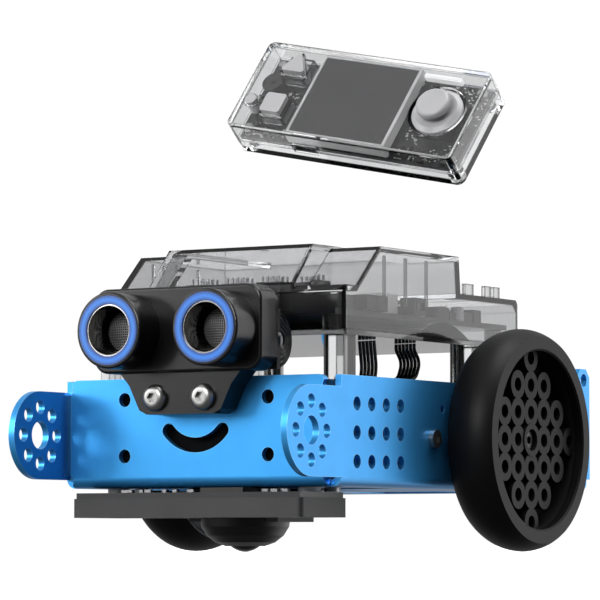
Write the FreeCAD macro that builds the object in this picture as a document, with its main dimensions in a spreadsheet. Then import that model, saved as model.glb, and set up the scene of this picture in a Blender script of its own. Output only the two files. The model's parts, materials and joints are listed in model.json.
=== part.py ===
import FreeCAD, Part
import math
import os
import sys

import Sketcher

# Small two-wheel classroom robot with a lift-off hand controller.
# Design frame: X to the robot's left as it looks forward along -Y, Z up from the floor,
# Y = 0 on the front face of the folded front plate. Every sub-part's Placement then moves
# it back by the same amount, so that the origin lies under the middle of the whole robot.

doc = FreeCAD.newDocument("classroom_robot")
sheet = doc.addObject("Spreadsheet::Sheet", "dim")

DIMENSIONS = {
    # whole robot
    "origin_shift": -62.9,
    # folded aluminium chassis
    "sheet_thick": 2.0,
    "deck_low": 18.0,
    "deck_back": 149.0,
    "plate_half": 42.6,
    "plate_top": 48.9,
    "side_out": 46.1,
    "bend_out": 3.0,
    "bend_inner": 1.0,
    "ear_centre_y": -13.0,
    "ear_radius": 12.5,
    "hole_level": 33.0,
    "hole_pitch": 8.0,
    "hole_radius": 2.0,
    "ear_bore": 4.0,
    "tail_y": 151.3,
    "tail_hole_y": 147.5,
    "tail_hole_z": 52.5,
    # drive wheels
    "wheel_y": 87.1,
    "wheel_radius": 32.5,
    "tyre_inner": 29.6,
    "tyre_face": 63.5,
    "tyre_back": 48.3,
    "hub_face": 63.3,
    "dish_radius": 26.1,
    "ring_outer": 4.15,
    "ring_face": 60.0,
    "dish_floor": 55.0,
    "hub_back": 52.0,
    "crown_x": 57.0,
    "front_crown": 10.33,
    "back_crown": 12.56,
    "shaft_radius": 2.5,
    "axle_bore": 2.55,
    # caster
    "caster_y": 26.0,
    "ball_radius": 6.2,
    "ball_seat": 6.26,
    # line sensor
    "line_half": 38.3,
    "line_front": -5.5,
    "line_back": 19.1,
    "line_low": 9.6,
    "line_top": 15.0,
    # ultrasonic sensor
    "eye_x": 16.0,
    "eye_z": 61.6,
    "eye_radius": 10.7,
    "eye_front": -20.0,
    "eye_half": 28.0,
    "eye_low": 50.0,
    "eye_top": 73.9,
    "eye_back": -2.3,
    "eye_face": -9.8,
    "nose_face": -8.0,
    "nose_low": 38.4,
    "nose_half": 11.2,
    "cup_radius": 7.3,
    "cup_floor": -7.0,
    "light_radius": 9.7,
    "rim_inner": 6.9,
    "transducer_radius": 5.6,
    "transducer_front": -13.0,
    "sensor_bolt_z": 43.0,
    # shield box
    "shield_half": 41.0,
    "shield_front": 12.5,
    "shield_back": 116.0,
    "shield_low": 60.5,
    "tray_top": 75.5,
    "hump_top": 86.5,
    "hump_back": 79.0,
    "centre_half": 24.5,
    "shield_wall": 1.5,
    "guide_height": 3.2,
    # hand controller, given where it sits in its tray
    "pad_length": 78.8,
    "pad_width": 32.8,
    "pad_thick": 12.5,
    "pad_y": 97.5,
    "pad_low": 75.8,
    "pad_wall": 1.4,
    "stick_x": 27.4,
    "stick_y": 97.6,
    "stick_hole": 9.0,
    "stick_disc": 8.0,
    "triangle_x": -26.0,
    "triangle_y": 105.8,
    "square_x": -26.5,
    "square_y": 91.0,
    "home_x": -35.4,
    "home_y": 91.6,
    "swing_angle": 58.106,
    "swing_y": 43.14,
    "swing_z": 91.53,
    "swing_dir_x": 0.98059,
    "swing_dir_y": 0.17452,
    "swing_dir_z": -0.08939,
    # cables
    "wire_radius": 0.5,
}
for row, (alias, number) in enumerate(DIMENSIONS.items(), start=1):
    sheet.set(f"A{row}", alias)
    sheet.set(f"B{row}", str(number))
    sheet.setAlias(f"B{row}", alias)
doc.recompute()

PLANE_ROLE = {"XY": "XY_Plane", "XZ": "XZ_Plane", "YZ": "YZ_Plane"}
AXIS_ROTATION = {
    "X": FreeCAD.Rotation(FreeCAD.Vector(0, 1, 0), 90),
    "Y": FreeCAD.Rotation(FreeCAD.Vector(1, 0, 0), -90),
    "Z": FreeCAD.Rotation(),
}
PRIMITIVES = ("Part::Box", "Part::Cylinder", "Part::Sphere", "Part::Prism")
sub_parts = []


def bound(expression):
    """The expression with every sheet alias written as a reference to the sheet."""
    words = []
    word = ""
    for letter in str(expression) + " ":
        if letter.isalnum() or letter in "_.":
            word += letter
            continue
        words.append("dim." + word if word in DIMENSIONS else word)
        words.append(letter)
        word = ""
    return "".join(words).strip()


def number_of(expression):
    return float(sheet.evalExpression(bound(expression)))


def keep(obj, label, lifted=False, at=None):
    """Name a sub-part and place it: shifted to the origin, and swung up if it's the controller's."""
    if obj.TypeId in PRIMITIVES:
        obj = group(obj.Name + "_placed", [obj])
    obj.Label = label
    base = FreeCAD.Vector(*(at or (0, 0, 0)))
    shift = FreeCAD.Vector(0, number_of("origin_shift"), 0)
    place = FreeCAD.Placement(base + shift, FreeCAD.Rotation())
    if lifted:
        axis = FreeCAD.Vector(*[number_of("swing_dir_" + letter) for letter in "xyz"])
        turn = FreeCAD.Rotation(axis, number_of("swing_angle"))
        pivot = FreeCAD.Vector(0, number_of("swing_y"), number_of("swing_z"))
        swing = FreeCAD.Placement(FreeCAD.Vector(0, 0, 0), turn, pivot)
        place = FreeCAD.Placement(shift, FreeCAD.Rotation()) * swing
    obj.Placement = place
    sub_parts.append(obj)
    return obj


# ---- Part primitives bound to the sheet ----

def block(name, x_span, y_span, z_span):
    box = doc.addObject("Part::Box", name)
    for axis, side, (low, high) in zip("xyz", ("Length", "Width", "Height"), (x_span, y_span, z_span)):
        box.setExpression("Placement.Base." + axis, bound(f"({low})"))
        box.setExpression(side, bound(f"({high}) - ({low})"))
    return box


def rod(name, axis, centre, span, radius, far_radius=None):
    """A cylinder, or a cone with far_radius, along an axis; centre gives the other two coordinates."""
    low, high = span
    kind = "Part::Cylinder" if far_radius is None else "Part::Cone"
    shape = doc.addObject(kind, name)
    shape.Placement = FreeCAD.Placement(FreeCAD.Vector(), AXIS_ROTATION[axis])
    others = [letter for letter in "XYZ" if letter != axis]
    shape.setExpression(f"Placement.Base.{axis.lower()}", bound(f"({low})"))
    for letter, value in zip(others, centre):
        shape.setExpression(f"Placement.Base.{letter.lower()}", bound(f"({value})"))
    shape.setExpression("Height", bound(f"({high}) - ({low})"))
    if far_radius is None:
        shape.setExpression("Radius", bound(f"({radius})"))
    else:
        shape.setExpression("Radius1", bound(f"({radius})"))
        shape.setExpression("Radius2", bound(f"({far_radius})"))
    return shape


def ball(name, centre, radius):
    sphere = doc.addObject("Part::Sphere", name)
    for axis, value in zip("xyz", centre):
        sphere.setExpression("Placement.Base." + axis, bound(f"({value})"))
    sphere.setExpression("Radius", bound(f"({radius})"))
    return sphere


def fuse(name, shapes):
    joined = doc.addObject("Part::MultiFuse", name)
    joined.Shapes = shapes
    joined.Refine = True
    return joined


def cut(name, base, tools):
    tool = tools[0] if len(tools) == 1 else fuse(name + "_tools", tools)
    result = doc.addObject("Part::Cut", name)
    result.Base = base
    result.Tool = tool
    return result


def common(name, shapes):
    shared = doc.addObject("Part::MultiCommon", name)
    shared.Shapes = shapes
    return shared


def group(name, shapes):
    together = doc.addObject("Part::Compound", name)
    together.Links = shapes
    return together


def rounded(name, base, radius, chosen):
    """Round the edges of base for which chosen(edge) is true."""
    doc.recompute()
    result = doc.addObject("Part::Fillet", name)
    result.Base = base
    picked = [index for index, edge in enumerate(base.Shape.Edges, start=1) if chosen(edge)]
    result.Edges = [(index, radius, radius) for index in picked]
    return result


def runs_along(edge, axis):
    """True for a straight edge along one axis."""
    if edge.Curve.TypeId != "Part::GeomLine":
        return False
    direction = edge.Curve.Direction
    return abs(getattr(direction, axis.lower())) > 0.999


def socket_screw(name, axis, sign, centre, seat, head_radius, head_height, shank_radius, shank_length,
                 domed=False):
    """A cap or button screw whose head rises from seat in the direction sign along axis."""
    ends = sorted((f"{seat}", f"({seat}) + ({sign * head_height})"), key=number_of)
    shank_ends = sorted((f"{seat}", f"({seat}) - ({sign * shank_length})"), key=number_of)
    head = rod(name + "_head", axis, centre, ends, head_radius)
    if domed:
        top_of_seat = number_of(seat) + sign * head_height

        def outer_rim(edge):
            middle = edge.BoundBox.Center
            return abs(getattr(middle, axis.lower()) - top_of_seat) < 0.01

        head = rounded(name + "_domed", head, 0.85 * head_height, outer_rim)
    shank = rod(name + "_shank", axis, centre, shank_ends, shank_radius)
    top = number_of(seat) + sign * head_height
    depth = (0.45 if domed else 0.6) * head_height
    socket = doc.addObject("Part::Prism", name + "_socket")
    socket.Polygon = 6
    socket.Circumradius = (0.38 if domed else 0.5) * head_radius
    socket.Height = depth
    low = top - depth if sign > 0 else top
    others = [number_of(value) for value in centre]
    place = {"X": [low] + others, "Y": [others[0], low, others[1]], "Z": others + [low]}[axis]
    socket.Placement = FreeCAD.Placement(FreeCAD.Vector(*place), AXIS_ROTATION[axis])
    body = fuse(name + "_body", [head, shank])
    return cut(name, body, [socket])


# ---- PartDesign helpers ----

def new_body(name):
    return doc.addObject("PartDesign::Body", name)


def sketch_on(body, plane, level):
    """A sketch in body, parallel to one of its origin planes at the given level."""
    sketch = body.newObject("Sketcher::SketchObject", body.Name + "_sketch")
    planes = [part for part in body.Origin.OriginFeatures if part.Role == PLANE_ROLE[plane]]
    sketch.AttachmentSupport = [(planes[0], "")]
    sketch.MapMode = "FlatFace"
    sign = "-" if plane == "XZ" else ""
    sketch.setExpression("AttachmentOffset.Base.z", bound(f"{sign}({level})"))
    return sketch


def add_circle(sketch, u, v, radius):
    centre = FreeCAD.Vector(number_of(u), number_of(v), 0)
    circle = Part.Circle(centre, FreeCAD.Vector(0, 0, 1), number_of(radius))
    index = sketch.addGeometry(circle, False)
    at_u = sketch.addConstraint(Sketcher.Constraint("DistanceX", index, 3, centre.x))
    at_v = sketch.addConstraint(Sketcher.Constraint("DistanceY", index, 3, centre.y))
    size = sketch.addConstraint(Sketcher.Constraint("Radius", index, number_of(radius)))
    for constraint, value in ((at_u, u), (at_v, v), (size, radius)):
        sketch.setExpression(f"Constraints[{constraint}]", bound(value))
    return index


def add_outline(sketch, corners):
    """A closed polygon whose corners are pairs of expressions."""
    points = [FreeCAD.Vector(number_of(u), number_of(v), 0) for u, v in corners]
    first = sketch.GeometryCount
    count = len(points)
    for index in range(count):
        line = Part.LineSegment(points[index], points[(index + 1) % count])
        sketch.addGeometry(line, False)
    for index in range(count):
        following = first + (index + 1) % count
        sketch.addConstraint(Sketcher.Constraint("Coincident", first + index, 2, following, 1))
    for index, (u, v) in enumerate(corners):
        point = points[index]
        at_u = sketch.addConstraint(Sketcher.Constraint("DistanceX", first + index, 1, point.x))
        at_v = sketch.addConstraint(Sketcher.Constraint("DistanceY", first + index, 1, point.y))
        sketch.setExpression(f"Constraints[{at_u}]", bound(u))
        sketch.setExpression(f"Constraints[{at_v}]", bound(v))


def add_rectangle(sketch, u_span, v_span):
    (left, right), (low, high) = u_span, v_span
    add_outline(sketch, [(left, low), (right, low), (right, high), (left, high)])


def pad(body, sketch, plane, length):
    """Add material from the sketch towards the positive side of its plane's axis."""
    feature = body.newObject("PartDesign::Pad", body.Name + "_pad")
    feature.Profile = sketch
    feature.setExpression("Length", bound(length))
    feature.Reversed = plane == "XZ"
    return feature


def pocket(body, sketch, plane, length):
    """Cut from the sketch towards the positive side of its plane's axis."""
    feature = body.newObject("PartDesign::Pocket", body.Name + "_pocket")
    feature.Profile = sketch
    feature.setExpression("Length", bound(length))
    feature.Reversed = plane != "XZ"
    return feature


def bend(body, radius, chosen):
    """Round the edges of the body's tip for which chosen(edge) is true."""
    doc.recompute()
    tip = body.Tip
    names = [f"Edge{index}" for index, edge in enumerate(tip.Shape.Edges, start=1) if chosen(edge)]
    feature = body.newObject("PartDesign::Fillet", body.Name + "_bend")
    feature.Base = (tip, names)
    feature.setExpression("Radius", bound(radius))
    return feature


# ---- chassis ----

def chassis():
    """One folded sheet: deck, two side panels with forward ears and tails, and the front plate."""
    body = new_body("chassis_body")
    inner = "(side_out - sheet_thick)"
    deck_top = "(deck_low + sheet_thick)"
    channel = sketch_on(body, "XZ", "bend_out")
    add_outline(channel, [
        ("-side_out", "deck_low"), ("side_out", "deck_low"), ("side_out", "48.8"), (inner, "48.8"),
        (inner, deck_top), (f"-{inner}", deck_top), (f"-{inner}", "48.8"), ("-side_out", "48.8"),
    ])
    pad(body, channel, "XZ", "deck_back - bend_out")

    def outer_fold(edge):
        box = edge.BoundBox
        return runs_along(edge, "Y") and abs(box.ZMin - number_of("deck_low")) < 0.01

    def inner_fold(edge):
        box = edge.BoundBox
        at_side = abs(abs(box.XMin) - number_of(inner)) < 0.01
        return runs_along(edge, "Y") and at_side and abs(box.ZMin - number_of(deck_top)) < 0.01

    bend(body, "bend_out", outer_fold)
    bend(body, "bend_inner", inner_fold)

    front_plate(body)

    def plate_corner(edge):
        box = edge.BoundBox
        high = abs(box.ZMin - number_of("plate_top")) < 0.01
        return runs_along(edge, "Y") and high and box.YMax < 2.1

    bend(body, "2.4", plate_corner)

    for side in ("-side_out", inner):
        ear = sketch_on(body, "YZ", side)
        add_circle(ear, "ear_centre_y", "hole_level", "ear_radius")
        pad(body, ear, "YZ", "sheet_thick")
        neck = sketch_on(body, "YZ", side)
        add_outline(neck, [
            ("ear_centre_y", "hole_level - ear_radius"), ("6", "hole_level - ear_radius"),
            ("6", "hole_level + ear_radius"), ("ear_centre_y", "hole_level + ear_radius"),
        ])
        pad(body, neck, "YZ", "sheet_thick")
        tail = sketch_on(body, "YZ", side)
        add_outline(tail, [
            ("140", "deck_low + 4"), ("tail_y", "deck_low + 4"), ("tail_y", "53.5"),
            ("149.0", "56"), ("145.5", "56"), ("143.4", "53.5"), ("143.4", "48.8"), ("140", "48.8"),
        ])
        pad(body, tail, "YZ", "sheet_thick")
    doc.recompute()

    # corner reliefs beside the front plate's top and bottom
    reliefs = sketch_on(body, "XZ", "-1")
    for side in (-1, 1):
        add_circle(reliefs, f"{side} * 43.4", "46.2", "1.6")
        add_circle(reliefs, f"{side} * 43.6", "deck_low + 2.2", "1.7")
    pocket(body, reliefs, "XZ", "2.5 + 1")

    # mounting holes of the front plate and the two sensor screw holes
    holes = sketch_on(body, "XZ", "-1")
    for side in (-1, 1):
        add_circle(holes, f"{side} * 3 * hole_pitch", "hole_level + 2 + hole_pitch", "hole_radius")
        add_circle(holes, f"{side} * 3 * hole_pitch", "hole_level + 2 - hole_pitch", "hole_radius")
        add_circle(holes, f"{side} * hole_pitch", "sensor_bolt_z", "hole_radius")
    pocket(body, holes, "XZ", "sheet_thick + 1.5")
    smile(body)

    # ears: a round bore and a ring of eight holes
    for side in ("-side_out", inner):
        bore = sketch_on(body, "YZ", f"({side}) - 1")
        add_circle(bore, "ear_centre_y", "hole_level", "ear_bore")
        for step in range(8):
            angle = math.radians(45 * step)
            add_circle(bore, f"ear_centre_y + {math.cos(angle):.6f} * hole_pitch",
                       f"hole_level + {math.sin(angle):.6f} * hole_pitch", "hole_radius")
        pocket(body, bore, "YZ", "sheet_thick + 2")

    # side panels: a grid of twelve holes, motor screw holes, the shaft hole and the tail hole
    panels = sketch_on(body, "YZ", "-side_out - 1")
    for column in range(4):
        for line in (-1, 0, 1):
            at_y = f"11.2 + {column} * hole_pitch"
            at_z = f"hole_level + {line} * hole_pitch"
            add_circle(panels, at_y, at_z, "hole_radius")
    add_circle(panels, "53.5", "32.2", "1.6")
    add_circle(panels, "59.1", "40.9", "1.2")
    add_circle(panels, "74", "24.5", "1.6")
    add_circle(panels, "74", "40.5", "1.6")
    add_circle(panels, "wheel_y", "wheel_radius", "5")
    add_circle(panels, "tail_hole_y", "tail_hole_z", "hole_radius")
    pocket(body, panels, "YZ", "2 * side_out + 2")

    # deck openings
    openings = sketch_on(body, "XY", "deck_low - 1")
    add_rectangle(openings, ("-38", "-17"), ("23", "46"))
    add_rectangle(openings, ("17", "38"), ("23", "46"))
    add_rectangle(openings, ("-14", "14"), ("46", "70"))
    add_rectangle(openings, ("-18", "18"), ("106", "136"))
    for x in (-32, 32):
        add_circle(openings, f"{x}", "21.2", "1.6")
    for x in (-12, 12):
        add_circle(openings, f"{x}", "33", "1.6")
    pocket(body, openings, "XY", "sheet_thick + 2")
    return keep(body, "chassis")


def front_plate(body):
    """The front plate and its fold into the deck, drawn from the side and padded across."""
    thick = number_of("sheet_thick")
    low = number_of("deck_low")
    top = number_of("plate_top")
    outer = number_of("bend_out")
    inner = outer - thick
    flange = outer + 5
    sketch = sketch_on(body, "YZ", "-plate_half")
    fold_centre = FreeCAD.Vector(outer, low + outer, 0)
    up = FreeCAD.Vector(0, 0, 1)
    runs = [
        ((thick, low + outer), (thick, top)), ((thick, top), (0, top)), ((0, top), (0, low + outer)),
        ((outer, low), (flange, low)), ((flange, low), (flange, low + thick)),
        ((flange, low + thick), (outer, low + thick)),
    ]
    for (y1, z1), (y2, z2) in runs:
        sketch.addGeometry(Part.LineSegment(FreeCAD.Vector(y1, z1, 0), FreeCAD.Vector(y2, z2, 0)), False)
    for radius in (outer, inner):
        fold = Part.Circle(fold_centre, up, radius)
        sketch.addGeometry(Part.ArcOfCircle(fold, math.pi, 1.5 * math.pi), False)
    pad(body, sketch, "YZ", "2 * plate_half")


def smile(body):
    """The curved slot in the front plate: an arc band with round ends."""
    centre_z = 41.8
    middle_radius = 11.9
    half_width = 2.1
    half_angle = math.radians(49)
    sketch = sketch_on(body, "XZ", "-1")
    centre = FreeCAD.Vector(0, centre_z, 0)
    up = FreeCAD.Vector(0, 0, 1)
    start = 1.5 * math.pi - half_angle
    end = 1.5 * math.pi + half_angle
    for radius in (middle_radius + half_width, middle_radius - half_width):
        sketch.addGeometry(Part.ArcOfCircle(Part.Circle(centre, up, radius), start, end), False)
    for angle, first, last in ((start, start - math.pi, start), (end, end, end + math.pi)):
        along = FreeCAD.Vector(math.cos(angle), math.sin(angle), 0)
        cap = Part.Circle(centre + along * middle_radius, up, half_width)
        sketch.addGeometry(Part.ArcOfCircle(cap, first, last), False)
    pocket(body, sketch, "XZ", "sheet_thick + 1.5")


# ---- drive wheels: built about X = 0 and placed at the axle ----

def wheel(side, sign):
    """One hub with its lattice of rings, tyre, axle screw and drive shaft."""
    def spin(name, corners):
        body = new_body(f"{side}_{name}_body")
        sketch = sketch_on(body, "XY", "0")
        add_outline(sketch, [(f"{sign} * ({x})", radius) for x, radius in corners])
        feature = body.newObject("PartDesign::Revolution", f"{side}_{name}_turn")
        feature.Profile = sketch
        axes = [part for part in body.Origin.OriginFeatures if part.Role == "X_Axis"]
        feature.ReferenceAxis = (axes[0], [""])
        feature.Angle = 360
        return body

    at_axle = (0, number_of("wheel_y"), number_of("wheel_radius"))
    keep(tyre_body(side, sign), f"{side}_tyre", at=at_axle)

    boss_face = "ring_face + 0.3"
    rim_face = "tyre_face - 2.8"
    rim_back = "tyre_back + 1.6"
    hub = spin("hub", [
        ("50", "shaft_radius"), ("57", "shaft_radius"), ("57", "0.1"), ("57.6", "0.1"), ("57.6", "3.2"),
        (boss_face, "3.2"), (boss_face, "4.8"), ("dish_floor", "4.8"), ("dish_floor", "dish_radius"),
        (rim_face, "dish_radius"), (rim_face, "tyre_inner"), (rim_back, "tyre_inner"), (rim_back, "27.4"),
        ("hub_back", "26.6"), ("hub_back", "6"), ("50", "6"),
    ])
    doc.recompute()
    places = [(row, column) for row in range(-3, 4) for column in range(-3, 4)
              if 0 < abs(row) + abs(column) <= 3]
    level = "dish_floor - 0.2" if sign > 0 else "-ring_face"
    for parity in (0, 1):
        rings = sketch_on(hub, "YZ", level)
        for row, column in places:
            if (row + column) % 2 == parity:
                add_circle(rings, f"{row} * hole_pitch", f"{column} * hole_pitch", "ring_outer")
        pad(hub, rings, "YZ", "ring_face - dish_floor + 0.2")
    drilled = sketch_on(hub, "YZ", "hub_back - 1" if sign > 0 else "-ring_face - 1")
    for row, column in places:
        add_circle(drilled, f"{row} * hole_pitch", f"{column} * hole_pitch", "hole_radius")
    pocket(hub, drilled, "YZ", "ring_face - hub_back + 2")
    bored = sketch_on(hub, "YZ", "49" if sign > 0 else "-61")
    add_circle(bored, "0", "0", "1.3")
    pocket(hub, bored, "YZ", "12")
    keep(hub, f"{side}_wheel_hub", at=at_axle)

    def spans(near, far):
        return (near, far) if sign > 0 else (f"-({far})", f"-({near})")

    shaft = cut(f"{side}_shaft_shape",
                rod(f"{side}_shaft_rod", "X", ("0", "0"), spans("30", "57"), "shaft_radius"),
                [rod(f"{side}_shaft_tap", "X", ("0", "0"), spans("49", "58"), "1.2")])
    keep(shaft, f"{side}_drive_shaft", at=at_axle)
    seat = f"{sign} * 57.6"
    screw = socket_screw(f"{side}_axle_screw_shape", "X", sign, ("0", "0"), seat, 2.6, 1.6, 1.2, 7)
    keep(screw, f"{side}_axle_screw", at=at_axle)


def tyre_body(side, sign):
    """A tyre with a crowned tread of two tangent arcs; its front lip covers the hub's rim."""
    body = new_body(f"{side}_tyre_body")
    sketch = sketch_on(body, "XY", "0")
    top = number_of("wheel_radius")
    crown = number_of("crown_x")
    face, back = number_of("tyre_face"), number_of("tyre_back")
    bed, dish = number_of("tyre_inner"), number_of("dish_radius")

    def crown_point(x, radius):
        return x, top - radius + math.sqrt(radius ** 2 - (x - crown) ** 2)

    def point(place):
        return FreeCAD.Vector(sign * place[0], place[1], 0)

    front_radius, back_radius = number_of("front_crown"), number_of("back_crown")
    front_edge = crown_point(face, front_radius)
    back_edge = crown_point(back, back_radius)
    middle = (crown, top)
    arcs = [(middle, crown_point((crown + face) / 2, front_radius), front_edge),
            (back_edge, crown_point((crown + back) / 2, back_radius), middle)]
    lines = [front_edge, (face, dish + 0.5), (face - 0.5, dish), (face - 2.6, dish), (face - 2.6, bed),
             (back + 1.4, bed), (back + 1.4, bed - 2), (back + 0.6, bed - 2), (back, bed - 1.2), back_edge]
    for start, through, end in arcs:
        sketch.addGeometry(Part.Arc(point(start), point(through), point(end)), False)
    for start, end in zip(lines, lines[1:]):
        sketch.addGeometry(Part.LineSegment(point(start), point(end)), False)
    turn = body.newObject("PartDesign::Revolution", f"{side}_tyre_turn")
    turn.Profile = sketch
    axes = [part for part in body.Origin.OriginFeatures if part.Role == "X_Axis"]
    turn.ReferenceAxis = (axes[0], [""])
    turn.Angle = 360
    return body


def motor(side, sign):
    """Gearbox against the side panel and the motor can behind it; returns its plug on top."""
    def spans(near, far):
        return (near, far) if sign > 0 else (f"-({far})", f"-({near})")

    case = block(f"{side}_gearbox_case", spans("24", "44"), ("49", "99"), ("20.6", "43.4"))
    eased = rounded(f"{side}_gearbox_eased", case, 2.0, lambda edge: runs_along(edge, "X"))
    bore = rod(f"{side}_gearbox_bore", "X", ("wheel_y", "wheel_radius"), spans("29", "45"), "axle_bore")
    taps = [rod(f"{side}_gearbox_tap_{index}", "X", point, spans("34", "45"), "1.3")
            for index, point in enumerate((("53.5", "32.2"), ("74", "24.5"), ("74", "40.5")))]
    keep(cut(f"{side}_gearbox_shape", eased, [bore] + taps), f"{side}_motor_gearbox")

    can = rod(f"{side}_can_shell", "Y", (f"{sign} * 33", "32"), ("99", "122"), "9.6")
    nose = rod(f"{side}_can_nose", "Y", (f"{sign} * 33", "32"), ("122", "124.5"), "4")
    keep(fuse(f"{side}_can_shape", [can, nose]), f"{side}_motor_can")

    return block(f"{side}_plug_block", spans("25.5", "34.5"), ("51.5", "68.5"), ("43.4", "48"))


def chassis_screws():
    """Cap screws: three through each side panel, two for the caster and two under the standoffs."""
    screws = []
    for side, sign in (("right", 1), ("left", -1)):
        for index, point in enumerate((("53.5", "32.2"), ("74", "24.5"), ("74", "40.5"))):
            head = 1.5 if index == 0 else 1.4
            screws.append(socket_screw(f"{side}_motor_screw_{index}", "X", sign, point,
                                       f"{sign} * side_out", 2.6, head, 1.3, 9))
    for index, x in enumerate(("-12", "12")):
        screws.append(socket_screw(f"caster_screw_{index}", "Z", 1, (x, "33"), "deck_low + sheet_thick",
                                   2.6, 1.6, 1.3, 8))
    for index, x in enumerate(("-32", "32")):
        screws.append(socket_screw(f"standoff_screw_{index}", "Z", -1, (x, "21.2"), "deck_low",
                                   2.3, 1.2, 1.3, 7))
    keep(group("chassis_screw_group", screws), "chassis_screws")


# ---- caster ----

def caster():
    """A ball held in a dome under the line sensor, on a post that reaches the deck."""
    body = new_body("caster_body")
    dome = sketch_on(body, "YZ", "0")
    add_outline(dome, [
        ("0", "1.6"), ("5.6", "1.6"), ("8.6", "2.7"), ("11", "4.6"), ("12.6", "7.2"), ("12.9", "9.5"),
        ("0", "9.5"),
    ])
    turn = body.newObject("PartDesign::Revolution", "caster_turn")
    turn.Profile = dome
    axes = [part for part in body.Origin.OriginFeatures if part.Role == "Z_Axis"]
    turn.ReferenceAxis = (axes[0], [""])
    turn.Angle = 360
    post = sketch_on(body, "XY", "9.5 - 1")
    add_rectangle(post, ("-15", "15"), ("line_back - caster_y + 0.4", "13"))
    pad(body, post, "XY", "deck_low - 9.5 + 1")
    doc.recompute()
    clear = (0, number_of("caster_y"), 0)
    body.Placement = FreeCAD.Placement(FreeCAD.Vector(*clear), FreeCAD.Rotation())
    seat = ball("caster_seat", ("0", "caster_y", "ball_radius"), "ball_seat")
    bolt_holes = [rod(f"caster_hole_{x}", "Z", (f"{x}", "33"), ("10", "deck_low + 1"), "1.35")
                  for x in (-12, 12)]
    keep(cut("caster_shape", body, [seat] + bolt_holes), "caster_housing")
    keep(ball("caster_ball_shape", ("0", "caster_y", "ball_radius"), "ball_radius"), "caster_ball")


# ---- line sensor ----

def line_sensor():
    """The flat sensor bar below the front of the deck."""
    cover = block("line_cover_block", ("-line_half", "line_half"), ("line_front", "line_back"),
                  ("line_low", "line_top"))
    eased = rounded("line_cover_eased", cover, 1.6, lambda edge: runs_along(edge, "Z"))
    slots = [rod(f"line_window_{index}", "Z", (f"{x}", "1"), ("line_low - 1", "line_low + 2"), "3.2")
             for index, x in enumerate((-24, -8, 8, 24))]
    bolts = [rod(f"line_bolt_hole_{x}", "Z", (f"{x}", "9"), ("line_low - 1", "line_top + 1"), "1.7")
             for x in (-32, 32)]
    sinks = [rod(f"line_bolt_sink_{x}", "Z", (f"{x}", "9"), ("line_low - 1", "line_low + 1.7"), "3")
             for x in (-32, 32)]
    keep(cut("line_cover_shape", eased, slots + bolts + sinks), "line_sensor_cover")

    board = block("line_board_block", ("-line_half + 1", "line_half - 1"),
                  ("line_front + 0.8", "line_back - 0.8"), ("line_top", "line_top + 1.6"))
    board_holes = [rod(f"line_board_hole_{x}", "Z", (f"{x}", "9"), ("line_top - 1", "line_top + 2"), "1.7")
                   for x in (-32, 32)]
    keep(cut("line_board_shape", board, board_holes), "line_sensor_board")

    lenses = [rod(f"line_lens_{index}", "Z", (f"{x}", "1"), ("line_low + 0.3", "line_low + 2"), "3.1")
              for index, x in enumerate((-24, -8, 8, 24))]
    keep(group("line_lens_group", lenses), "line_sensor_lenses")

    spacers = []
    screws = []
    for x in ("-32", "32"):
        name = "left" if x.startswith("-") else "right"
        ring = rod(f"line_spacer_{name}", "Z", (x, "9"), ("line_top + 1.6", "deck_low"), "3.2")
        hole = rod(f"line_spacer_hole_{name}", "Z", (x, "9"), ("line_top + 1", "deck_low + 1"), "1.7")
        spacers.append(cut(f"line_spacer_ring_{name}", ring, [hole]))
        seat = "line_low + 1.7"
        screws.append(socket_screw(f"line_screw_{name}", "Z", -1, (x, "9"), seat, 2.7, 1.5, 1.6, 6.7))
    keep(group("line_spacer_group", spacers), "line_sensor_spacers")
    keep(group("line_screw_group", screws), "line_sensor_screws")
    socket = block("line_socket_block", ("4", "18"), ("line_front + 2", "4.5"),
                   ("line_top + 1.6", "deck_low - 0.1"))
    keep(socket, "line_sensor_socket")


# ---- ultrasonic sensor ----

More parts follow.
